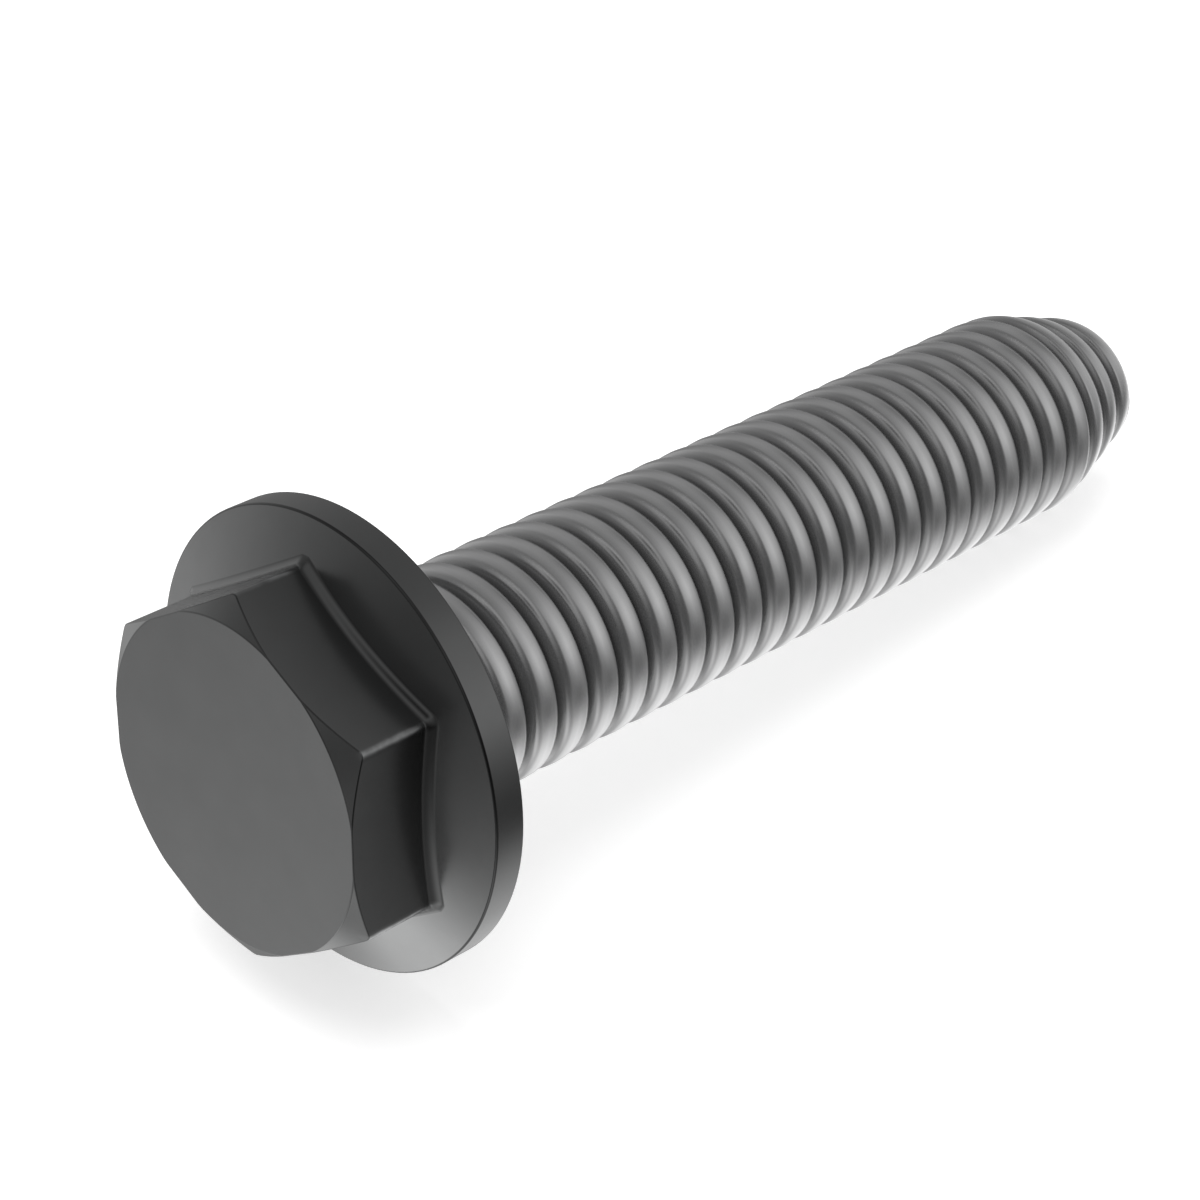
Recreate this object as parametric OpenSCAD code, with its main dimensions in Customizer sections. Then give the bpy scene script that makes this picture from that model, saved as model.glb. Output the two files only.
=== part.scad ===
// Hex flange self-tapping screw: one forged and thread-rolled piece, lying on its flange and its thread.
// The origin is the centre of the bearing face under the flange. +X runs from the head to the tip.

/* [Thread] */
// Outside diameter over the thread crests
thread_d = 7.94; // [7.2:0.01:9]
// Length from the bearing face to the flat tip
shank_l = 38.1; // [20:0.1:60]
// Distance from one crest to the next along the shank
pitch = 1.411; // [1.25:0.001:1.75]
// Depth of the groove between two crests
thread_depth = 0.5; // [0.4:0.01:0.8]
// Width of the rounded crest between two groove walls
crest_w = 0.95; // [0.3:0.01:1]
// How much the rounded crest falls away towards its sides
crest_fall = 0.08; // [0.02:0.01:0.12]
// Length over which the thread grows out of the neck
runout_l = 1.8; // [0.8:0.1:4]
// Angle at which the groove starts round the shank
thread_turn = 186; // [0:1:359]
// Flat facets in one turn of the thread
thread_sides = 32; // [20:4:44]

/* [Point] */
// Length of the tapered lead at the tip
point_l = 4.3; // [2:0.1:8]
// Diameter over the crests at the flat tip
point_d = 5.2; // [4:0.1:6.5]

/* [Neck] */
// Length of the plain neck under the flange
neck_l = 0.9; // [0.7:0.1:2]
// How far the neck lies below the thread crests
neck_step = 0.36; // [0.2:0.01:0.5]
// Radius of the fillet between the neck and the bearing face
neck_fillet_r = 0.4; // [0.2:0.05:0.6]

/* [Flange] */
// Diameter of the flange
flange_d = 16.1; // [15:0.1:20]
// Height of the straight rim of the flange
rim_h = 1.15; // [0.8:0.05:1.6]
// Slope of the flange's upper side, in degrees
cone_angle = 18; // [8:1:24]
// Radius of the rounded edges of the rim
rim_edge_r = 0.12; // [0.05:0.01:0.3]

/* [Hexagon] */
// Height of the whole head above the bearing face
head_h = 4.97; // [4.2:0.01:7]
// Width across the flats of the hexagon
across_flats = 11.5; // [10:0.1:12.5]
// Radius of the six upright corners
corner_r = 0.3; // [0.15:0.05:0.8]
// Diameter of the flat top inside the chamfer
top_d = 11.6; // [9.5:0.1:12]
// Slope of the chamfer at the corners, in degrees
chamfer_angle = 34.5; // [20:0.5:45]
// Radius of the fillet where the hexagon meets the flange
hex_fillet_r = 0.35; // [0.15:0.05:0.5]
// Angle of the hexagon about the screw's axis
head_turn = 6.7; // [0:0.1:59]

/* [Hidden] */

// Facets of the head: steps in a small arc, steps along one flat
arc_steps = 5;
flat_steps = 8;
// Facets round the flange, one of which faces the ground
flange_sides = 96;
// Overlap that lets one form grow out of another
bury = 0.4;
// Amount by which a blended edge is sunk, so that it crosses the surface that it blends into
sink = 0.01;

thread_r = thread_d / 2;
core_r = thread_r - thread_depth;
neck_r = thread_r - neck_step;
flange_r = flange_d / 2;
flat_r = across_flats / 2;
taper_start = shank_l - point_l;

// The screw lies on the rim of its flange and on the last full crest of its thread
lying_tilt = atan((flange_r - thread_r) / taper_start);

// Points of an arc from angle a0 to a1 about [x, y]
function arc(x, y, r, a0, a1, steps = arc_steps) =
    [for (k = [0 : steps]) let (a = a0 + (a1 - a0) * k / steps) [x + r * cos(a), y + r * sin(a)]];

// Height of the flange's upper side at a distance r from the axis
function flange_top(r) = rim_h + (flange_r - r) * tan(cone_angle);

// Thread: a helical grid with four rows to each turn of the groove.
// Lengths w run from the bearing face towards the tip.

// Where the rows lie within one pitch: groove bottom, shoulder, crest, shoulder
shoulder = (pitch - crest_w) / 2 / pitch;
row_share = [0, shoulder, 0.5, 1 - shoulder];
row_count = len(row_share);

// The thread starts inside the neck and is cut off flat at the tip
thread_start = neck_l - bury;
// A row closer than this to an end is moved onto it
row_gap = 0.02;
rows = row_count * (ceil((shank_l - thread_start) / pitch) + 1);

// How deep the groove is at a share u of the pitch: 1 at its bottom, 0 on the crest
function groove(u) = lookup(u, [
    [0, 1],
    [shoulder, crest_fall / thread_depth],
    [0.5, 0],
    [1 - shoulder, crest_fall / thread_depth],
    [1, 1]
]);

// Radius over the crests, which falls off evenly along the tapered lead
function crest_r(w) =
    w < taper_start ? thread_r : thread_r - (thread_r - point_d / 2) * (w - taper_start) / point_l;

// Share of its full height that the crest has grown to at w
function grown(w) = min(max((w - thread_start) / runout_l, 0), 1);

// Radius of the threaded shank
function shank_r(w, u) = crest_r(w) - thread_depth * (1 - (1 - groove(u)) * grown(w));

function raw_w(i, j) =
    thread_start + pitch * (i / thread_sides + floor(j / row_count) + row_share[j % row_count] - 1);
function held_w(w) = w < thread_start + row_gap ? thread_start : w > shank_l - row_gap ? shank_l : w;

function thread_point(i, j) = let (
        a = 360 * i / thread_sides,
        w = held_w(raw_w(i, j)),
        turns = (w - thread_start) / pitch - i / thread_sides + 1,
        r = shank_r(w, turns - floor(turns))
    ) [r * cos(a), r * sin(a), w];

// Last row that lies on the start of the thread, and first row that lies on the tip
first_row = [for (i = [0 : thread_sides - 1])
    max([for (j = [0 : row_count]) if (held_w(raw_w(i, j)) <= thread_start) j])];
last_row = [for (i = [0 : thread_sides - 1])
    min([for (j = [rows - 3 * row_count : rows]) if (held_w(raw_w(i, j)) >= shank_l) j])];

// Index of a grid point. One turn further round, the same groove lies one pitch further on.
function thread_index(i, j) = i == thread_sides
    ? thread_index(0, j + row_count)
    : i * (rows + 1) + min(max(j, first_row[i]), last_row[i]);

function is_face(f) = f[0] != f[1] && f[1] != f[2] && f[2] != f[0];

module threaded_shank() {
    points = [for (i = [0 : thread_sides - 1], j = [0 : rows]) thread_point(i, j)];
    sides = [for (i = [0 : thread_sides - 1], j = [0 : rows - 1]) let (
            a = thread_index(i, j),
            b = thread_index(i + 1, j),
            c = thread_index(i + 1, j + 1),
            d = thread_index(i, j + 1)
        ) each [[a, c, b], [a, d, c]]];
    start = [for (i = [0 : thread_sides - 1]) thread_index(i, 0)];
    tip = [for (i = [thread_sides - 1 : -1 : 0]) thread_index(i, rows)];
    rotate([180, 0, thread_turn])
        polyhedron(points, concat([for (f = sides) if (is_face(f)) f], [start], [tip]), convexity = 10);
}

// Neck and flange: one profile turned about the axis.
module flange_and_neck() {
    neck_end = neck_l + neck_r - core_r;
    rotate([0, 0, 180 / flange_sides])
        rotate_extrude($fn = flange_sides)
            polygon(concat(
                [[0, -neck_end], [core_r - sink, -neck_end], [neck_r, -neck_l]],
                arc(neck_r + neck_fillet_r, -neck_fillet_r, neck_fillet_r, 180, 90),
                arc(flange_r - rim_edge_r, rim_edge_r, rim_edge_r, -90, 0),
                arc(flange_r - rim_edge_r, rim_h - rim_edge_r, rim_edge_r, 0, 90 - cone_angle),
                [[flat_r - bury, flange_top(flat_r - bury)], [0, flange_top(flat_r - bury)]]
            ));
}

// Outline of the hexagon: rounded corners, with points along each flat.
// Each entry is [x, y, direction in which the wall faces].
corner_at = (flat_r - corner_r) / cos(30);
corner_points = [for (m = [0 : 5]) [for (k = [0 : arc_steps]) let (a = 60 * m - 30 + 60 * k / arc_steps)
    [corner_at * cos(60 * m) + corner_r * cos(a), corner_at * sin(60 * m) + corner_r * sin(a), a]]];
wall_points = [for (m = [0 : 5]) let (p = corner_points[m][arc_steps], q = corner_points[(m + 1) % 6][0])
    each concat(
        corner_points[m],
        [for (k = [1 : flat_steps - 1]) let (s = k / flat_steps)
            [p[0] + (q[0] - p[0]) * s, p[1] + (q[1] - p[1]) * s, p[2]]]
    )];

// Hexagon with its chamfer
module hexagon() {
    base = rim_h;
    chamfer_drop = flat_r * tan(chamfer_angle);
    intersection() {
        translate([0, 0, base])
            linear_extrude(head_h - base)
                polygon([for (m = [0 : 5]) each [for (p = corner_points[m]) [p[0], p[1]]]]);
        translate([0, 0, head_h - chamfer_drop])
            cylinder(h = chamfer_drop, r1 = top_d / 2 + flat_r, r2 = top_d / 2, $fn = 96);
    }
}

// Section of the fillet at one point of the wall, as a loop of [distance from the wall, height].
// It is the path of a ball that rolls between the upright wall and the sloping flange.
function fillet_section(p) = let (
        r = norm([p[0], p[1]]),
        slope = atan(tan(cone_angle) * cos(p[2] - atan2(p[1], p[0]))),
        foot = flange_top(r),
        top = foot + hex_fillet_r * tan((90 - slope) / 2),
        curve = arc(hex_fillet_r - sink, top - sink, hex_fillet_r, 180, 270 - slope, arc_steps)
    ) concat(
        [[-bury, top]],
        curve,
        [[curve[arc_steps][0], curve[arc_steps][1] - bury], [-bury, foot - bury]]
    );

// Fillet round the foot of the hexagon
module hexagon_fillet() {
    n = len(wall_points);
    loops = [for (p = wall_points) [for (s = fillet_section(p))
        [p[0] + s[0] * cos(p[2]), p[1] + s[0] * sin(p[2]), s[1]]]];
    m = len(loops[0]);
    faces = [for (i = [0 : n - 1], j = [0 : m - 1]) let (
            a = i * m + j,
            b = (i + 1) % n * m + j,
            c = (i + 1) % n * m + (j + 1) % m,
            d = i * m + (j + 1) % m
        ) each [[a, b, c], [a, c, d]]];
    polyhedron([for (loop = loops) each loop], faces, convexity = 6);
}

module head() {
    rotate([0, 0, head_turn]) {
        hexagon();
        hexagon_fillet();
    }
}

// Turns the upright screw over until it lies on its flange and thread, head towards -X
module lay_down() {
    rotate([0, lying_tilt - 90, 0])
        children();
}

module screw() {
    color([0.33, 0.34, 0.34])
        lay_down() {
            flange_and_neck();
            head();
            threaded_shank();
        }
}

screw();
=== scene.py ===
"""Looks of the hex flange self-tapping screw: one closed steel surface, its finish, studio and camera.

Upright local frame, in millimetres: the bearing face under the flange is at height 0, the head points up
and the thread hangs down. The finished surface is laid on its flange rim and thread crest, in metres.
"""

import logging
import math
from dataclasses import dataclass, field
from enum import Enum
from typing import Union

import bpy
import numpy as np
from mathutils import Euler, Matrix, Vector


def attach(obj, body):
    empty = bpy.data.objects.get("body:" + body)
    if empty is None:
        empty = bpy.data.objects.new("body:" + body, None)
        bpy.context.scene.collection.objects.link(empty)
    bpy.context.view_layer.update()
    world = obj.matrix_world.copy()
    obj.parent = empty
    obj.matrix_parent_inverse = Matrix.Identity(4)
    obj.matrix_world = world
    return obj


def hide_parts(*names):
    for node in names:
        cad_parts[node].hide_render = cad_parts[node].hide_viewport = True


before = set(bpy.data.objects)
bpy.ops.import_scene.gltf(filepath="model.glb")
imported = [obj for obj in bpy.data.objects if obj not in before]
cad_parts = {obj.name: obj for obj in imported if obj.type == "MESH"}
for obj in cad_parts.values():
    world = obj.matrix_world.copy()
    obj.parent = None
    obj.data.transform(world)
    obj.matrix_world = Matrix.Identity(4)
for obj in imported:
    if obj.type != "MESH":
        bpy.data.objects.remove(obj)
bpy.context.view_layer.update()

LOG = logging.getLogger("screw")
MM = 0.001

# Sizes that the head and the thread share, in mm
NECK_RADIUS = 3.61
THREAD_START = 0.5

# What can feed a socket of a material: another socket, a value or a colour
Feed = Union[bpy.types.NodeSocket, float, tuple[float, float, float]]


class Mask(Enum):
    """Vertex attributes of the steel surface, which the finish reads."""

    ROLLED = "rolled"
    # Crests rubbed bright, and painted shade in the grooves between them.
    CREST = "crest"
    WORN = "worn"
    # Painted shade on the head's roundings.
    DARK = "dark"


class Blend(Enum):
    """What a Mix node mixes: its data type, the numbers of its two inputs, and that of its output."""

    COLOUR = ("RGBA", (6, 7), 2)
    VALUE = ("FLOAT", (2, 3), 0)


@dataclass(frozen=True)
class Bend:
    """One corner of the head's section and the rounding that replaces it.

    Attributes:
        radius: Distance of the corner from the axis, one value a column.
        height: Height of the corner above the bearing face, one value a column.
        reach: How far the rounding reaches from the corner along both sides, in mm.
        dark: How much painted shade darkens the rounding, 0 to 1.
        lead: The same at the end of the face that leads up to the rounding.
        fullness: 1 for an arc of a circle, less for a flatter band with tighter ends.
    """

    radius: np.ndarray
    height: np.ndarray
    reach: float
    dark: float = 0.0
    lead: float = 0.0
    fullness: float = 1.0


@dataclass
class Head:
    """Chamfered hexagon, round flange and neck, as one section that changes round the axis."""

    height: float = 4.97
    across_flats: float = 11.5
    corner_radius: float = 0.3
    top_diameter: float = 11.6
    chamfer_angle: float = 34.5
    foot_reach: float = 0.26
    foot_fullness: float = 0.55
    turn: float = 6.7
    flange_diameter: float = 16.1
    rim_height: float = 1.15
    cone_angle: float = 18.0
    neck_radius: float = NECK_RADIUS
    neck_fillet: float = 0.4
    neck_bottom: float = -THREAD_START
    small_edge: float = 0.03
    rim_edge: float = 0.06
    wear: float = 0.8
    wear_reach: float = 1.6
    wear_depth: float = 0.1
    top_rings: tuple[float, ...] = (0.3, 0.6, 0.85)
    arc_rows: int = 7
    arc_share: float = 0.42
    corner_columns: int = 3
    flat_columns: int = 13
    column_gather: float = 1.35
    guard: float = 1.15
    angle_slack: float = 1e-9

    def half_corner(self) -> float:
        """Angle at the axis from a corner's middle to the end of its rounding, in radians."""
        along = self.corner_centre() + self.corner_radius * math.cos(math.pi / 6)
        return math.atan2(self.corner_radius / 2, along)

    def corner_centre(self) -> float:
        """Distance from the axis to the centre of a corner's rounding."""
        return (self.across_flats / 2 - self.corner_radius) / math.cos(math.pi / 6)

    def columns(self) -> np.ndarray:
        """Angles of the columns round the axis, closest together at the hexagon's corners.

        From a corner's middle the angle grows evenly over the rounding, and then as a power of the step,
        up to the middle of the flat. The other half is its mirror image, and six such pairs make the turn.

        Returns:
            The angles in radians, rising through one turn.
        """
        arc = self.half_corner()
        over_flat = (np.arange(1, self.flat_columns + 1) / self.flat_columns) ** self.column_gather
        half = np.concatenate([
            np.linspace(0, arc, self.corner_columns + 1),
            arc + (math.pi / 6 - arc) * over_flat,
        ])
        sextant = np.concatenate([-half[:0:-1], half[:-1]])
        corners = math.radians(self.turn) + np.arange(6) * math.pi / 3
        return (corners[:, None] + sextant[None, :]).ravel()

    def from_corner(self, angles: np.ndarray) -> np.ndarray:
        """Signed angle from the nearest corner of the hexagon, in radians."""
        return (angles - math.radians(self.turn) + math.pi / 6) % (math.pi / 3) - math.pi / 6

    def wall(self, angles: np.ndarray) -> tuple[np.ndarray, np.ndarray]:
        """Outline of the hexagon.

        On a flat the radius is the half width over the cosine of the angle from the flat's middle. On a
        rounded corner it is where the ray from the axis leaves the corner's circle.

        Args:
            angles: Angles round the axis, in radians.

        Returns:
            The radius of the wall, and the cosine between the ray from the axis and the wall's normal.
        """
        off = np.abs(self.from_corner(angles))
        centre, rounding = self.corner_centre(), self.corner_radius
        on_arc = off <= self.half_corner() + self.angle_slack
        across = np.where(on_arc, centre * np.sin(off), 0)
        arc = centre * np.cos(off) + np.sqrt(rounding ** 2 - across ** 2)
        flat = self.across_flats / 2 / np.cos(math.pi / 6 - off)
        lean = np.where(on_arc, np.arcsin(np.clip(across / rounding, 0, 1)), math.pi / 6 - off)
        return np.where(on_arc, arc, flat), np.cos(lean)

    def bends(self, angles: np.ndarray) -> list[Bend]:
        """Corners of the section from the rim of the top face down to the neck.

        Args:
            angles: Angles round the axis, in radians.

        Returns:
            The corners, from the top down.
        """
        wall, square_on = self.wall(angles)
        rim = np.full_like(wall, self.flange_diameter / 2)
        level = np.zeros_like(wall)
        slope = math.tan(math.radians(self.cone_angle))
        top = np.minimum(self.top_diameter / 2, wall - self.small_edge)
        drop = (wall - top) * math.tan(math.radians(self.chamfer_angle))
        foot = self.rim_height + (rim - wall) * slope
        # The dark values are painted shade: in the recess at the foot of the hexagon, and as dark lines along
        # the edges of the top, the chamfer and the rim.
        return [
            Bend(top, level + self.height, self.small_edge, dark=0.4),
            Bend(wall, self.height - drop, self.small_edge, dark=0.8),
            Bend(wall, foot, self.foot_reach / square_on, dark=0.55, lead=0.55, fullness=self.foot_fullness),
            Bend(rim, level + self.rim_height, self.rim_edge, dark=0.9),
            Bend(rim, level, self.rim_edge, dark=0.5),
            Bend(level + self.neck_radius, level, self.neck_fillet),
        ]

    def section(self, angles: np.ndarray) -> tuple[np.ndarray, np.ndarray, np.ndarray]:
        """Rows of the head from the middle of the top face to the end of the neck.

        Each corner is replaced by an arc: a weighted mean of its start, its corner and its end, with
        weights (1-t)^2, 2wt(1-t) and t^2, where w is the sine of half the corner's inner angle, times the
        fullness. An arc takes up no more than a set share of the sides beside it. A row just outside each
        of its ends keeps the shading of the faces beside it flat.

        Args:
            angles: Angles round the axis, in radians.

        Returns:
            Radius, height and painted shade, each with one row a ring and one column an angle.
        """
        bends = self.bends(angles)
        points = [np.stack([b.radius, b.height], -1) for b in bends]
        axis = np.stack([np.zeros_like(angles), np.full_like(angles, self.height)], -1)
        end = np.stack([np.full_like(angles, self.neck_radius), np.full_like(angles, self.neck_bottom)], -1)
        path = [axis, *points, end]
        t = np.linspace(0, 1, self.arc_rows)[:, None, None]
        rows = [axis + (points[0] - axis) * share for share in self.top_rings]
        dark = [0.0] * len(rows)
        for before, bend, corner, after in zip(path, bends, points, path[2:]):
            back, on = before - corner, after - corner
            back_length = np.linalg.norm(back, axis=-1, keepdims=True)
            on_length = np.linalg.norm(on, axis=-1, keepdims=True)
            back, on = back / back_length, on / on_length
            reach = np.minimum(np.broadcast_to(bend.reach, angles.shape)[:, None],
                               self.arc_share * np.minimum(back_length, on_length))
            weight = bend.fullness * np.sqrt((1 - (back * on).sum(-1, keepdims=True)) / 2)
            start, stop = corner + back * reach, corner + on * reach
            arc = ((1 - t) ** 2 * start + 2 * t * (1 - t) * weight * corner + t ** 2 * stop) \
                / ((1 - t) ** 2 + 2 * t * (1 - t) * weight + t ** 2)
            rows += [corner + back * reach * self.guard, *arc, corner + on * reach * self.guard]
            dark += [bend.lead, *[bend.dark] * self.arc_rows, 0.0]
        grid = np.stack([*rows, end])
        return grid[..., 0], grid[..., 1], np.array([*dark, 0.0])[:, None] + np.zeros_like(angles)

    def corner_wear(self, angles: np.ndarray, radius: np.ndarray, height: np.ndarray) -> np.ndarray:
        """How far the finish is rubbed off along the six upright corners.

        Args:
            angles: Angles round the axis, in radians.
            radius: Radius of each grid point.
            height: Height of each grid point.

        Returns:
            The wear at each grid point, 0 to 1.
        """
        wall, _ = self.wall(angles)
        near_corner = np.clip(self.wear_reach - np.abs(self.from_corner(angles)) / self.half_corner(), 0, 1)
        on_wall = np.clip(1 - np.abs(radius - wall) / self.wear_depth, 0, 1) * (height > self.rim_height)
        return self.wear * near_corner * on_wall


@dataclass
class Thread:
    """Threaded shank with its run-out at the neck and its tapered lead. Lengths run from the bearing face."""

    diameter: float = 7.94
    pitch: float = 1.411
    depth: float = 0.5
    crest_width: float = 0.95
    crest_fall: float = 0.05
    root_round: float = 0.05
    shoulder_round: float = 0.05
    runout: float = 1.8
    start: float = THREAD_START
    taper_start: float = 33.8
    end: float = 38.1
    point_diameter: float = 5.2
    tip_round: float = 0.12
    turn: float = 186.0
    neck_radius: float = NECK_RADIUS
    neck_length: float = 0.9
    neck_blend: float = 0.06
    blend_growth: float = 3.0
    tip_rows: int = 5
    flat_rings: tuple[float, ...] = (0.93, 0.6, 0.3)
    row_gap: float = 0.004
    row_offsets: tuple[float, ...] = (0.0, 0.05, 0.12, 0.2, 0.29, 0.45)

    def shares(self) -> np.ndarray:
        """Where the rows lie within one pitch, from one groove bottom to just before the next."""
        near = np.array(self.row_offsets) / self.pitch
        return np.concatenate([near, [0.5], 1 - near[:0:-1]])

    def groove(self, share: np.ndarray) -> np.ndarray:
        """Depth of the thread's profile below its crest.

        A rounded V, the square root of a sum of squares of its depth, meets a crest that falls off as a
        parabola. The two are joined by a smooth minimum, the mean of both less a rounded difference.

        Args:
            share: Place within one pitch, 0 at the bottom of the groove and 0.5 on the crest.

        Returns:
            The depth, from 0 on the crest to the full depth.
        """
        off = np.abs((share + 0.5) % 1.0 - 0.5) * self.pitch
        half_groove = (self.pitch - self.crest_width) / 2
        steepness = (self.depth - self.crest_fall) / half_groove
        wall = -self.depth + np.hypot(steepness * off, self.root_round) - self.root_round
        crest = -self.crest_fall * ((self.pitch / 2 - off) / (self.crest_width / 2)) ** 2
        height = (wall + crest - np.hypot(wall - crest, self.shoulder_round)) / 2
        return np.clip(-height, 0, self.depth)

    def crest_radius(self, length: np.ndarray) -> np.ndarray:
        """Radius over the crests, which falls off evenly along the tapered lead."""
        taper = np.clip((length - self.taper_start) / (self.end - self.taper_start), 0, 1)
        return self.diameter / 2 - (self.diameter - self.point_diameter) / 2 * taper

    def grown(self, length: np.ndarray) -> np.ndarray:
        """Share of its full height that the crest has grown to along the run-out."""
        return np.clip((length - self.start) / self.runout, 0, 1)

    def radius(self, length: np.ndarray, share: np.ndarray) -> np.ndarray:
        """Radius of the shank.

        The crest grows evenly out of the core along the run-out. The neck and the cone that ends it are
        joined to it by a smooth maximum, whose rounding grows from nothing where the rows start.

        Args:
            length: Distance from the bearing face.
            share: Place within one pitch.

        Returns:
            The radius at each point.
        """
        grown = self.grown(length)
        lift = (1 - self.groove(share) / self.depth) * grown
        thread = self.crest_radius(length) - self.depth * (1 - lift)
        neck = self.neck_radius - np.maximum(length - self.neck_length, 0)
        blend = self.neck_blend * np.clip(self.blend_growth * grown, 0, 1)
        blended = (thread + neck + np.hypot(thread - neck, blend)) / 2
        return np.where(length <= self.start, self.neck_radius, blended)

    def rows(self, angles: np.ndarray) -> tuple[np.ndarray, np.ndarray]:
        """Lengths along the helical rows, before they are held between the two ends.

        Args:
            angles: Angles round the axis, in radians, rising through one turn.

        Returns:
            The length at each row and column, and the turns by which each column's groove lags.
        """
        lag = (math.radians(self.turn) - angles) / (2 * math.pi)
        shares = self.shares()
        first = math.floor(-lag.max()) - 1
        last = math.ceil((self.end - self.start) / self.pitch - lag.min()) + 1
        steps = (np.arange(first, last + 1)[:, None] + shares[None, :]).ravel()
        return self.start + self.pitch * (steps[:, None] + lag[None, :]), lag

    def tip(self, angles: np.ndarray) -> tuple[np.ndarray, np.ndarray]:
        """Rounded edge and flat end of the tip.

        The edge is a quarter circle in each section, and the flat end shrinks evenly to the axis.

        Args:
            angles: Angles round the axis, in radians.

        Returns:
            Radius and length of each ring.
        """
        lag = (math.radians(self.turn) - angles) / (2 * math.pi)
        edge = self.end - self.tip_round
        outer = self.radius(np.full_like(angles, edge), (edge - self.start) / self.pitch - lag)
        quarter = np.linspace(0, math.pi / 2, self.tip_rows)[:, None]
        radius = outer - self.tip_round * (1 - np.cos(quarter))
        length = edge + self.tip_round * np.sin(quarter) + np.zeros_like(radius)
        flat = np.array(self.flat_rings)[:, None] * radius[-1]
        return np.vstack([radius, flat]), np.vstack([length, np.full_like(flat, self.end)])


@dataclass(frozen=True)
class DarkSteel:
    """Finish of the screw: dark satin coating, rubbed brighter on the rolled crests and on the edges, with
    painted shade in the thread's grooves and on the head's roundings.
    """

    head_colour: tuple[float, float, float] = (0.198, 0.2, 0.2)
    # Painted shade in the thread's grooves; the crest colour below is the rubbed steel of the crests.
    groove_painted_shade_colour: tuple[float, float, float] = (0.05, 0.05, 0.05)
    groove_metal: float = 0.7
    # Painted shade on the head's roundings: the foot of the hexagon and the edges of the top, chamfer and
    # rim.
    painted_shade_colour: tuple[float, float, float] = (0.06, 0.061, 0.061)
    crest_colour: tuple[float, float, float] = (0.75, 0.75, 0.755)
    worn_colour: tuple[float, float, float] = (0.42, 0.425, 0.43)
    head_roughness: float = 0.2
    crest_roughness: float = 0.22
    mottle_scale: float = 420.0
    mottle_spread: float = 0.10
    mottle_detail: float = 6.0
    mottle_roughness: float = 0.62
    sheen_scale: float = 1092.0
    sheen_spread: float = 0.22
    wear_scale: float = 1700.0
    wear_threshold: float = 0.16
    wear_full: float = 0.75
    wear_detail: float = 4.0
    grain_scale: float = 5200.0
    grain_detail: float = 3.0
    grain_strength: float = 0.6
    grain_height: float = 0.0000005

    @staticmethod
    def new_group(name: str, values: dict[str, float], output: str) -> bpy.types.NodeTree:
        """Starts a shader node group that reads a vector and some values, and gives one value.

        Args:
            name: Name of the group.
            values: Name and default value of each input besides "Vector".
            output: Name of the output.

        Returns:
            The group, with its input and output nodes named "in" and "out".
        """
        group = bpy.data.node_groups.new(name, "ShaderNodeTree")
        group.interface.new_socket("Vector", in_out="INPUT", socket_type="NodeSocketVector")
        for label, value in values.items():
            socket = group.interface.new_socket(label, in_out="INPUT", socket_type="NodeSocketFloat")
            socket.default_value = value
        group.interface.new_socket(output, in_out="OUTPUT", socket_type="NodeSocketFloat")
        group.nodes.new("NodeGroupInput").name = "in"
        group.nodes.new("NodeGroupOutput").name = "out"
        return group

    def mottle(self) -> bpy.types.NodeTree:
        """Group that gives a factor near 1, which varies in soft patches and fine specks over the surface."""
        group = self.new_group("mottle", {"Scale": self.mottle_scale, "Spread": self.mottle_spread}, "Factor")
        nodes, links = group.nodes, group.links
        patches = nodes.new("ShaderNodeTexNoise")
        patches.inputs["Detail"].default_value = self.mottle_detail
        patches.inputs["Roughness"].default_value = self.mottle_roughness
        span = nodes.new("ShaderNodeMath")
        span.operation = "SUBTRACT"
        span.inputs[1].default_value = 0.5
        spread = nodes.new("ShaderNodeMath")
        spread.operation = "MULTIPLY"
        around_one = nodes.new("ShaderNodeMath")
        around_one.operation = "MULTIPLY_ADD"
        around_one.inputs[1].default_value = 2.0
        around_one.inputs[2].default_value = 1.0
        links.new(nodes["in"].outputs["Vector"], patches.inputs["Vector"])
        links.new(nodes["in"].outputs["Scale"], patches.inputs["Scale"])
        links.new(patches.outputs["Fac"], span.inputs[0])
        links.new(span.outputs[0], spread.inputs[0])
        links.new(nodes["in"].outputs["Spread"], spread.inputs[1])
        links.new(spread.outputs[0], around_one.inputs[0])
        links.new(around_one.outputs[0], nodes["out"].inputs["Factor"])
        return group

    def worn_edge(self) -> bpy.types.NodeTree:
        """Group that breaks a smooth edge mask up into worn spots."""
        values = {"Edge": 0.0, "Scale": self.wear_scale, "Threshold": self.wear_threshold}
        group = self.new_group("worn_edge", values, "Mask")
        nodes, links = group.nodes, group.links
        spots = nodes.new("ShaderNodeTexNoise")
        spots.inputs["Detail"].default_value = self.wear_detail
        broken = nodes.new("ShaderNodeMath")
        broken.operation = "MULTIPLY"
        ramp = nodes.new("ShaderNodeMapRange")
        ramp.interpolation_type = "SMOOTHSTEP"
        ramp.inputs["From Max"].default_value = self.wear_full
        links.new(nodes["in"].outputs["Vector"], spots.inputs["Vector"])
        links.new(nodes["in"].outputs["Scale"], spots.inputs["Scale"])
        links.new(spots.outputs["Fac"], broken.inputs[0])
        links.new(nodes["in"].outputs["Edge"], broken.inputs[1])
        links.new(broken.outputs[0], ramp.inputs["Value"])
        links.new(nodes["in"].outputs["Threshold"], ramp.inputs["From Min"])
        links.new(ramp.outputs["Result"], nodes["out"].inputs["Mask"])
        return group

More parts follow.
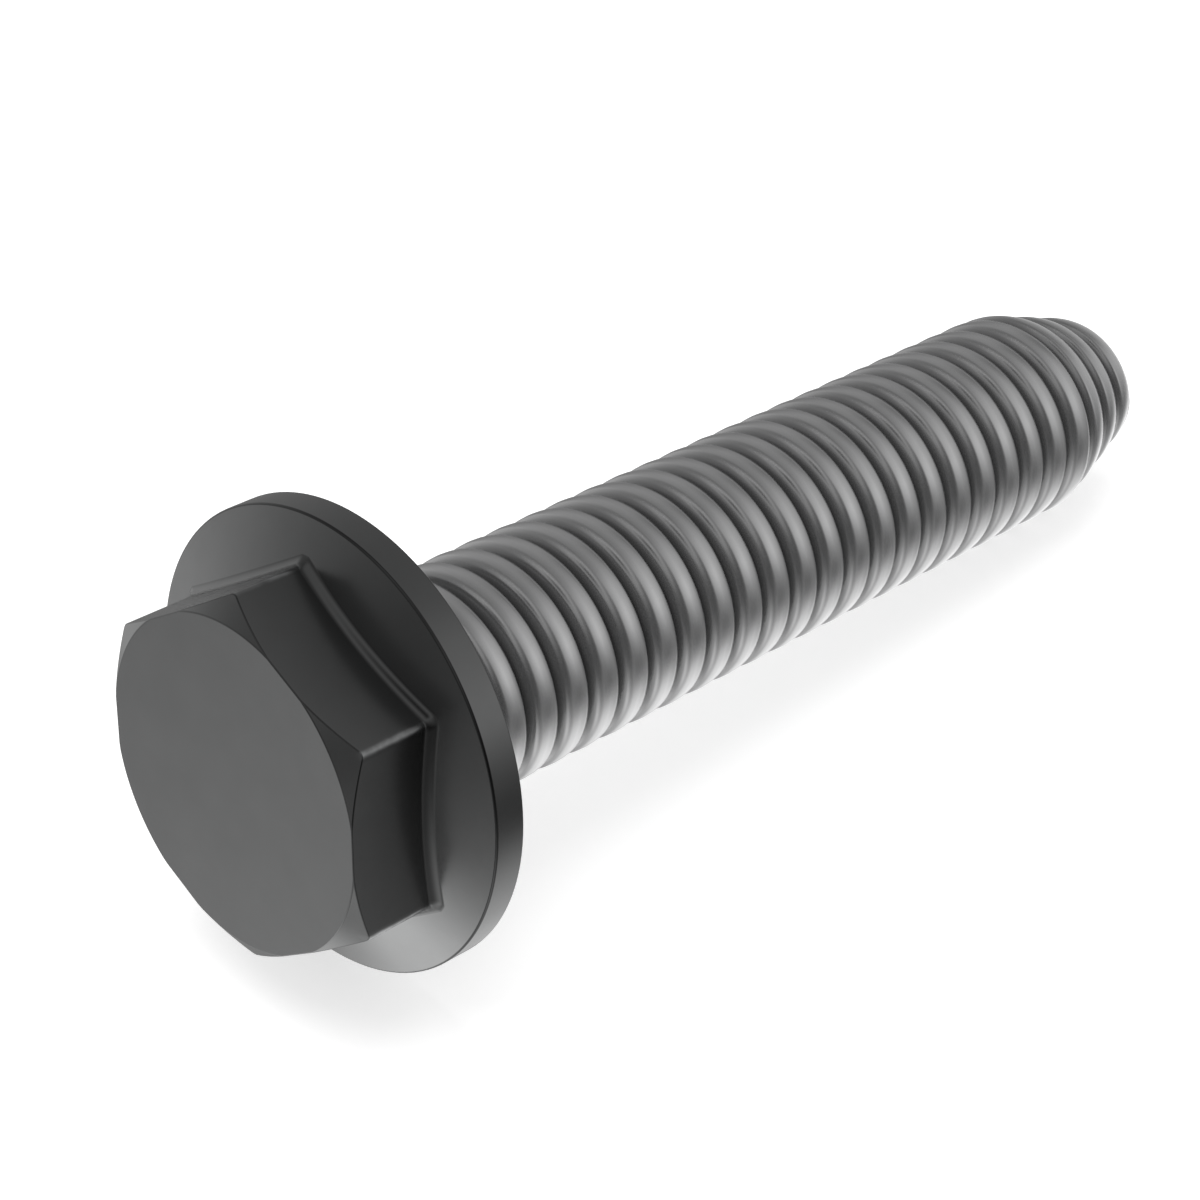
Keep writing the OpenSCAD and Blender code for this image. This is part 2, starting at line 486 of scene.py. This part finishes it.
    def material(self) -> bpy.types.Material:
        """Builds the material.

        Returns:
            The material, with its Principled shader fed from the masks and the two groups.
        """
        steel = bpy.data.materials.new("dark_satin_steel")
        steel.use_nodes = True
        nodes, links = steel.node_tree.nodes, steel.node_tree.links
        shader = nodes["Principled BSDF"]
        place = nodes.new("ShaderNodeTexCoord").outputs["Object"]
        masks = {}
        for mask in Mask:
            reader = nodes.new("ShaderNodeAttribute")
            reader.attribute_name = mask.value
            masks[mask] = reader.outputs["Fac"]

        def group_node(tree: bpy.types.NodeTree, **values: float) -> bpy.types.Node:
            """Places a group and sets its named values."""
            node = nodes.new("ShaderNodeGroup")
            node.node_tree = tree
            links.new(place, node.inputs["Vector"])
            for label, value in values.items():
                node.inputs[label].default_value = value
            return node

        def blend(kind: Blend, factor: bpy.types.NodeSocket, *ends: Feed) -> bpy.types.NodeSocket:
            """Mixes two colours or values by a factor and returns the result's socket."""
            node = nodes.new("ShaderNodeMix")
            node.data_type, inputs, output = kind.value
            links.new(factor, node.inputs[0])
            for index, end in zip(inputs, ends):
                if isinstance(end, bpy.types.NodeSocket):
                    links.new(end, node.inputs[index])
                else:
                    node.inputs[index].default_value = (*end, 1.0) if kind is Blend.COLOUR else end
            return node.outputs[output]

        worn = group_node(self.worn_edge(), Scale=self.wear_scale, Threshold=self.wear_threshold)
        links.new(masks[Mask.WORN], worn.inputs["Edge"])
        # Painted shade in the thread's grooves, fading to the rubbed crests.
        thread = blend(Blend.COLOUR, masks[Mask.CREST], self.groove_painted_shade_colour, self.crest_colour)
        # Painted shade on the head's roundings, where the dark mask is high.
        head = blend(Blend.COLOUR, masks[Mask.DARK], self.head_colour, self.painted_shade_colour)
        plain = blend(Blend.COLOUR, masks[Mask.ROLLED], head, thread)
        edged = blend(Blend.COLOUR, worn.outputs["Mask"], plain, self.worn_colour)
        mottle = self.mottle()
        patches = group_node(mottle, Scale=self.mottle_scale, Spread=self.mottle_spread)
        tinted = nodes.new("ShaderNodeVectorMath")
        tinted.operation = "SCALE"
        links.new(edged, tinted.inputs[0])
        links.new(patches.outputs["Factor"], tinted.inputs["Scale"])
        links.new(tinted.outputs[0], shader.inputs["Base Color"])

        bare = blend(Blend.VALUE, masks[Mask.CREST], self.groove_metal, 1.0)
        links.new(blend(Blend.VALUE, masks[Mask.ROLLED], 1.0, bare), shader.inputs["Metallic"])

        satin = blend(Blend.VALUE, masks[Mask.CREST], self.head_roughness, self.crest_roughness)
        uneven = group_node(mottle, Scale=self.sheen_scale, Spread=self.sheen_spread)
        rough = nodes.new("ShaderNodeMath")
        rough.operation = "MULTIPLY"
        links.new(satin, rough.inputs[0])
        links.new(uneven.outputs["Factor"], rough.inputs[1])
        links.new(rough.outputs[0], shader.inputs["Roughness"])

        grain = nodes.new("ShaderNodeTexNoise")
        grain.inputs["Scale"].default_value = self.grain_scale
        grain.inputs["Detail"].default_value = self.grain_detail
        links.new(place, grain.inputs["Vector"])
        bump = nodes.new("ShaderNodeBump")
        bump.inputs["Distance"].default_value = self.grain_height
        bump.inputs["Strength"].default_value = self.grain_strength
        links.new(grain.outputs["Fac"], bump.inputs["Height"])
        links.new(bump.outputs["Normal"], shader.inputs["Normal"])
        return steel


@dataclass
class Screw:
    """The whole screw: head and thread on one grid, laid on its side."""

    head: Head = field(default_factory=Head)
    thread: Thread = field(default_factory=Thread)
    finish: DarkSteel = field(default_factory=DarkSteel)
    flat_tip_mask: float = 0.5

    def lying_tilt(self) -> float:
        """Angle by which the axis dips when the flange rim and the last full crest touch the ground."""
        rise = self.head.flange_diameter / 2 - self.thread.diameter / 2
        return math.atan(rise / self.thread.taper_start)

    def laid_down(self, radius: np.ndarray, angle: np.ndarray, height: np.ndarray) -> np.ndarray:
        """Turns points of the upright screw over until it lies on its side.

        Args:
            radius: Distance of each point from the axis, in mm.
            angle: Angle of each point round the axis, in radians.
            height: Height of each point above the bearing face, in mm.

        Returns:
            The points in the row frame, in metres.
        """
        across, up = radius * np.cos(angle), height
        tilt = self.lying_tilt()
        along = across * math.sin(tilt) - up * math.cos(tilt)
        above = across * math.cos(tilt) + up * math.sin(tilt)
        return np.stack([along, radius * np.sin(angle), above], -1) * MM

    def surface(self) -> tuple[np.ndarray, np.ndarray, dict[Mask, np.ndarray]]:
        """Works the closed surface out as three blocks of rows and two poles.

        The rows of the thread follow its helix, so one turn further round they join the rows one pitch
        further on. Where such a row would run past an end, it is held on the ring of the neck or the tip.

        Returns:
            Points, triangles and the value of each mask at each point.
        """
        angles = self.head.columns()
        count = len(angles)
        head_radius, head_height, head_painted_shade = self.head.section(angles)
        head_wear = self.head.corner_wear(angles, head_radius, head_height)
        raw, lag = self.thread.rows(angles)
        tip_radius, tip_length = self.thread.tip(angles)
        tip_edge = self.thread.end - self.thread.tip_round
        shares = (raw - self.thread.start) / self.thread.pitch - lag[None, :]
        thread_radius = self.thread.radius(raw, shares)

        per_pitch = len(self.thread.shares())
        head_base, thread_base = 0, head_radius.size
        tip_base = thread_base + raw.size
        column = np.arange(count)
        own = thread_base + np.arange(raw.size).reshape(raw.shape)
        neck_ring = head_base + (len(head_radius) - 1) * count + column
        tip_ring = tip_base + column
        held = np.where(raw < self.thread.start + self.thread.row_gap, neck_ring[None, :], own)
        held = np.where(raw > tip_edge - self.thread.row_gap, tip_ring[None, :], held)
        seam = np.concatenate([np.full(per_pitch, neck_ring[0]), held[:-per_pitch, 0]])
        grids = [
            self.closed_ring(head_base + np.arange(head_radius.size).reshape(head_radius.shape)),
            np.column_stack([held, seam]),
            self.closed_ring(tip_base + np.arange(tip_radius.size).reshape(tip_radius.shape)),
        ]
        top_pole = tip_base + tip_radius.size
        first, last = grids[0][0], grids[2][-1]
        fans = [
            np.column_stack([np.full(count, top_pole), first[:-1], first[1:]]),
            np.column_stack([np.full(count, top_pole + 1), last[1:], last[:-1]]),
        ]
        triangles = np.vstack([self.triangles(grid) for grid in grids] + fans)

        def stacked(*blocks: np.ndarray, ends: tuple[float, float] = (0.0, 0.0)) -> np.ndarray:
            """One value a point, in the order of the blocks, with those of the two poles behind."""
            return np.concatenate([*(block.ravel() for block in blocks), ends])

        no_head, no_thread, no_tip = (np.zeros_like(block) for block in (head_radius, raw, tip_radius))
        radius = stacked(head_radius, thread_radius, tip_radius)
        height = stacked(head_height, -raw, -tip_length, ends=(self.head.height, -self.thread.end))
        around = stacked(*(np.broadcast_to(angles, block.shape) for block in (head_radius, raw, tip_radius)))
        # Crests rubbed bright and painted shade in the grooves, growing with the thread along the run-out.
        crest_wear_and_groove_shade = self.crest_wear_and_groove_shade(shares) * self.thread.grown(raw)
        tip_mask = self.tip_mask(tip_edge, lag, len(tip_radius))
        masks = {
            Mask.WORN: stacked(head_wear, no_thread, no_tip),
            # Painted shade on the head's roundings.
            Mask.DARK: stacked(head_painted_shade, no_thread, no_tip),
            Mask.ROLLED: np.clip((-height - self.head.neck_fillet) / self.thread.runout, 0, 1),
            Mask.CREST: stacked(no_head, crest_wear_and_groove_shade, tip_mask, ends=(0.0, self.flat_tip_mask)),
        }
        points = self.laid_down(radius, around, height)
        used, triangles = np.unique(triangles, return_inverse=True)
        return points[used], triangles.reshape(-1, 3), {mask: values[used] for mask, values in masks.items()}

    def tip_mask(self, edge: float, lag: np.ndarray, rings: int) -> np.ndarray:
        """Mask of the tip, with crests rubbed bright and painted shade in the grooves: as the thread beside
        it, fading evenly to the flat end's value.

        Args:
            edge: Length at which the rounded edge of the tip starts.
            lag: Turns by which each column's groove lags.
            rings: Number of rings from there to the axis.

        Returns:
            The mask, one row a ring.
        """
        fade = np.linspace(0, 1, rings)[:, None]
        beside = self.crest_wear_and_groove_shade((edge - self.thread.start) / self.thread.pitch - lag)
        return beside * (1 - fade) + self.flat_tip_mask * fade

    @staticmethod
    def crest_wear_and_groove_shade(shares: np.ndarray) -> np.ndarray:
        """How far the thread is rubbed bright on the crests and darkened by painted shade in the grooves:
        half a wave of a sine from one groove to the next.
        """
        return np.abs(np.sin(math.pi * shares))

    @staticmethod
    def closed_ring(index: np.ndarray) -> np.ndarray:
        """Repeats the first column of a grid of point numbers behind the last one."""
        return np.column_stack([index, index[:, 0]])

    @staticmethod
    def triangles(index: np.ndarray) -> np.ndarray:
        """Splits each cell of a grid of point numbers into two triangles that face outwards.

        Args:
            index: Point numbers, rows from the head to the tip and columns round the axis.

        Returns:
            The triangles, without those that have shrunk to a line.
        """
        a, b, c, d = index[:-1, :-1], index[1:, :-1], index[1:, 1:], index[:-1, 1:]
        halves = [np.stack(corners, -1).reshape(-1, 3) for corners in ((a, b, c), (a, c, d))]
        both = np.concatenate(halves)
        whole = (both[:, 0] != both[:, 1]) & (both[:, 1] != both[:, 2]) & (both[:, 2] != both[:, 0])
        return both[whole]

    def build(self) -> bpy.types.Object:
        """Makes the screw's object.

        Returns:
            The object, at the origin, with its place in its mesh.
        """
        points, triangles, masks = self.surface()
        mesh = bpy.data.meshes.new("flange_screw")
        mesh.from_pydata(points.tolist(), [], triangles.tolist())
        mesh.validate()
        mesh.shade_smooth()
        for mask, values in masks.items():
            layer = mesh.attributes.new(mask.value, "FLOAT", "POINT")
            layer.data.foreach_set("value", values.astype(np.float32))
        screw = bpy.data.objects.new("flange_screw", mesh)
        bpy.context.scene.collection.objects.link(screw)
        return screw

    def dress(self, screw: bpy.types.Object) -> None:
        """Gives the screw its finish and puts it in the place of its solid."""
        screw.data.materials.append(self.finish.material())
        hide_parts("screw")
        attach(screw, "root")
        LOG.info("%s: %d triangles", screw.name, len(screw.data.polygons))


@dataclass(frozen=True)
class Glow:
    """One soft light of the surroundings, or a dark card where its light is below zero. Angles in degrees.

    Attributes:
        heading: Compass direction of its middle, from +X towards +Y.
        elevation: Height of its middle above the horizon.
        half_width: Angle from its middle at which it has faded to half.
        light: Strength at its middle, where 1 is white.
    """

    heading: float
    elevation: float
    half_width: float
    light: float

    def direction(self) -> tuple[float, float, float]:
        """Unit vector towards its middle."""
        heading, elevation = math.radians(self.heading), math.radians(self.elevation)
        level = math.cos(elevation)
        return math.cos(heading) * level, math.sin(heading) * level, math.sin(elevation)

    def sharpness(self) -> float:
        """Factor k of the fade exp(k (c - 1)), where c is the cosine of the angle from its middle."""
        return math.log(2) / (1 - math.cos(math.radians(self.half_width)))


@dataclass
class Studio:
    """Pale floor, soft lamp and graded surroundings.

    The glows were searched for by a separate program, in steps of 5 degrees and 0.05 of light, until the
    greys that the screw mirrors came near to those of the photograph. They are seen in reflections only.
    """

    floor_level: float = -7.98
    floor_half: float = 6.0
    floor_albedo: float = 0.8
    floor_glow: float = 0.62
    world_level: float = 0.5
    lamp_power: float = 0.8
    lamp_size: float = 0.36
    lamp_distance: float = 0.4
    lamp_heading: float = 135.0
    lamp_elevation: float = 80.0
    glows: tuple[Glow, ...] = (
        Glow(155, -55, 15, 2.1),
        Glow(-10, -55, 35, 1.6),
        Glow(205, 60, 25, 1.15),
        Glow(-40, 40, 15, 0.25),
        Glow(5, 15, 30, 0.6),
        Glow(90, -15, 40, 0.9),
        Glow(15, -35, 20, 1.85),
        Glow(-50, 15, 15, 0.45),
        Glow(195, -15, 15, 0.6),
        Glow(-150, -50, 20, 1.5),
        Glow(-50, -30, 15, -0.35),
        Glow(10, 20, 15, -0.4),
        Glow(185, -55, 15, -1.3),
        Glow(30, -40, 35, -1.25),
        Glow(205, 60, 15, -1.15),
        Glow(-5, -35, 20, -1.25),
        Glow(-160, -20, 15, -0.55),
    )

    def floor(self) -> bpy.types.Object:
        """Makes the floor that the screw lies on.

        Returns:
            The floor.
        """
        half, level = self.floor_half, self.floor_level * MM
        corners = [(-half, -half, level), (half, -half, level), (half, half, level), (-half, half, level)]
        mesh = bpy.data.meshes.new("studio_floor")
        mesh.from_pydata(corners, [], [(0, 1, 2, 3)])
        floor = bpy.data.objects.new("studio_floor", mesh)
        bpy.context.scene.collection.objects.link(floor)
        pale = bpy.data.materials.new("pale_floor")
        pale.use_nodes = True
        nodes, links = pale.node_tree.nodes, pale.node_tree.links
        nodes.clear()
        matt = nodes.new("ShaderNodeBsdfDiffuse")
        matt.inputs["Color"].default_value = (self.floor_albedo,) * 3 + (1.0,)
        glow = nodes.new("ShaderNodeEmission")
        glow.inputs["Strength"].default_value = self.floor_glow
        lit = nodes.new("ShaderNodeAddShader")
        clear = nodes.new("ShaderNodeBsdfTransparent")
        path = nodes.new("ShaderNodeLightPath")
        seen = nodes.new("ShaderNodeMixShader")
        out = nodes.new("ShaderNodeOutputMaterial")
        links.new(matt.outputs[0], lit.inputs[0])
        links.new(glow.outputs[0], lit.inputs[1])
        links.new(path.outputs["Is Glossy Ray"], seen.inputs[0])
        links.new(lit.outputs[0], seen.inputs[1])
        links.new(clear.outputs[0], seen.inputs[2])
        links.new(seen.outputs[0], out.inputs["Surface"])
        floor.data.materials.append(pale)
        return floor

    def world(self) -> None:
        """Makes the surroundings: white to the camera, even for the floor, and the glows in reflections."""
        world = bpy.data.worlds.new("studio")
        world.use_nodes = True
        world.cycles.sampling_method = "NONE"
        bpy.context.scene.world = world
        nodes, links = world.node_tree.nodes, world.node_tree.links
        nodes.clear()
        place = nodes.new("ShaderNodeTexCoord")
        graded = nodes.new("ShaderNodeBackground")
        even = nodes.new("ShaderNodeBackground")
        even.inputs["Strength"].default_value = self.world_level
        white = nodes.new("ShaderNodeBackground")
        for background in (graded, even, white):
            background.inputs["Color"].default_value = (1.0, 1.0, 1.0, 1.0)
        path = nodes.new("ShaderNodeLightPath")
        mirrored = nodes.new("ShaderNodeMixShader")
        seen = nodes.new("ShaderNodeMixShader")
        out = nodes.new("ShaderNodeOutputWorld")
        links.new(self.glow_sum(world.node_tree, place.outputs["Generated"]), graded.inputs["Strength"])
        links.new(path.outputs["Is Glossy Ray"], mirrored.inputs[0])
        links.new(even.outputs[0], mirrored.inputs[1])
        links.new(graded.outputs[0], mirrored.inputs[2])
        links.new(path.outputs["Is Camera Ray"], seen.inputs[0])
        links.new(mirrored.outputs[0], seen.inputs[1])
        links.new(white.outputs[0], seen.inputs[2])
        links.new(seen.outputs[0], out.inputs["Surface"])

    def glow_sum(self, tree: bpy.types.NodeTree, direction: bpy.types.NodeSocket) -> bpy.types.NodeSocket:
        """Adds all glows up: each one is its light times exp(k c - k), and the sum isn't below zero.

        Args:
            tree: Node tree of the world.
            direction: Socket with the direction that is looked in.

        Returns:
            Socket with the light that comes from that direction.
        """
        nodes, links = tree.nodes, tree.links
        total = None
        for glow in self.glows:
            cosine = nodes.new("ShaderNodeVectorMath")
            cosine.operation = "DOT_PRODUCT"
            cosine.inputs[1].default_value = glow.direction()
            power = nodes.new("ShaderNodeMath")
            power.operation = "MULTIPLY_ADD"
            power.inputs[1].default_value = glow.sharpness()
            power.inputs[2].default_value = -glow.sharpness()
            fade = nodes.new("ShaderNodeMath")
            fade.operation = "EXPONENT"
            added = nodes.new("ShaderNodeMath")
            added.operation = "MULTIPLY_ADD"
            added.inputs[1].default_value = glow.light
            added.inputs[2].default_value = 0.0
            links.new(direction, cosine.inputs[0])
            links.new(cosine.outputs["Value"], power.inputs[0])
            links.new(power.outputs[0], fade.inputs[0])
            links.new(fade.outputs[0], added.inputs[0])
            if total is not None:
                links.new(total, added.inputs[2])
            total = added.outputs[0]
        above_zero = nodes.new("ShaderNodeMath")
        above_zero.operation = "MAXIMUM"
        above_zero.inputs[1].default_value = 0.0
        links.new(total, above_zero.inputs[0])
        return above_zero.outputs[0]

    def lamp(self) -> None:
        """Hangs the one large soft lamp over the screw."""
        heading, elevation = math.radians(self.lamp_heading), math.radians(self.lamp_elevation)
        towards = Vector((math.cos(heading) * math.cos(elevation), math.sin(heading) * math.cos(elevation),
                          math.sin(elevation)))
        light = bpy.data.lights.new("softbox", "AREA")
        light.shape = "DISK"
        light.size = self.lamp_size
        light.energy = self.lamp_power
        lamp = bpy.data.objects.new("softbox", light)
        lamp.location = towards * self.lamp_distance
        lamp.rotation_euler = towards.to_track_quat("Z", "Y").to_euler()
        lamp.visible_glossy = False
        bpy.context.scene.collection.objects.link(lamp)

    def build(self) -> None:
        """Makes the floor, the surroundings and the lamp."""
        self.floor()
        self.world()
        self.lamp()
        LOG.info("studio: floor, surroundings and one soft lamp")


@dataclass(frozen=True)
class Viewpoint:
    """The camera, at the photograph's viewing angle. Place, lens and sensor in mm, angles in degrees."""

    place: tuple[float, float, float] = (-51.517, -63.417, 68.528)
    pitch_down: float = 37.89
    heading: float = -44.73
    lens: float = 99.01
    sensor: float = 36.0
    nearest: float = 1.0

    def build(self) -> None:
        """Makes the camera and sets it as the scene's."""
        data = bpy.data.cameras.new("view")
        data.lens = self.lens
        data.sensor_width = self.sensor
        data.clip_start = self.nearest * MM
        camera = bpy.data.objects.new("view", data)
        camera.location = Vector(self.place) * MM
        camera.rotation_euler = Euler((math.radians(90 - self.pitch_down), 0.0, math.radians(self.heading)))
        bpy.context.scene.collection.objects.link(camera)
        bpy.context.scene.camera = camera


def main() -> None:
    """Builds the camera, the screw and the studio, in that order."""
    logging.basicConfig(level=logging.INFO)
    bpy.context.scene.view_settings.view_transform = "Standard"
    Viewpoint().build()
    screw = Screw()
    screw.dress(screw.build())
    Studio().build()


if __name__ == "__main__":
    main()
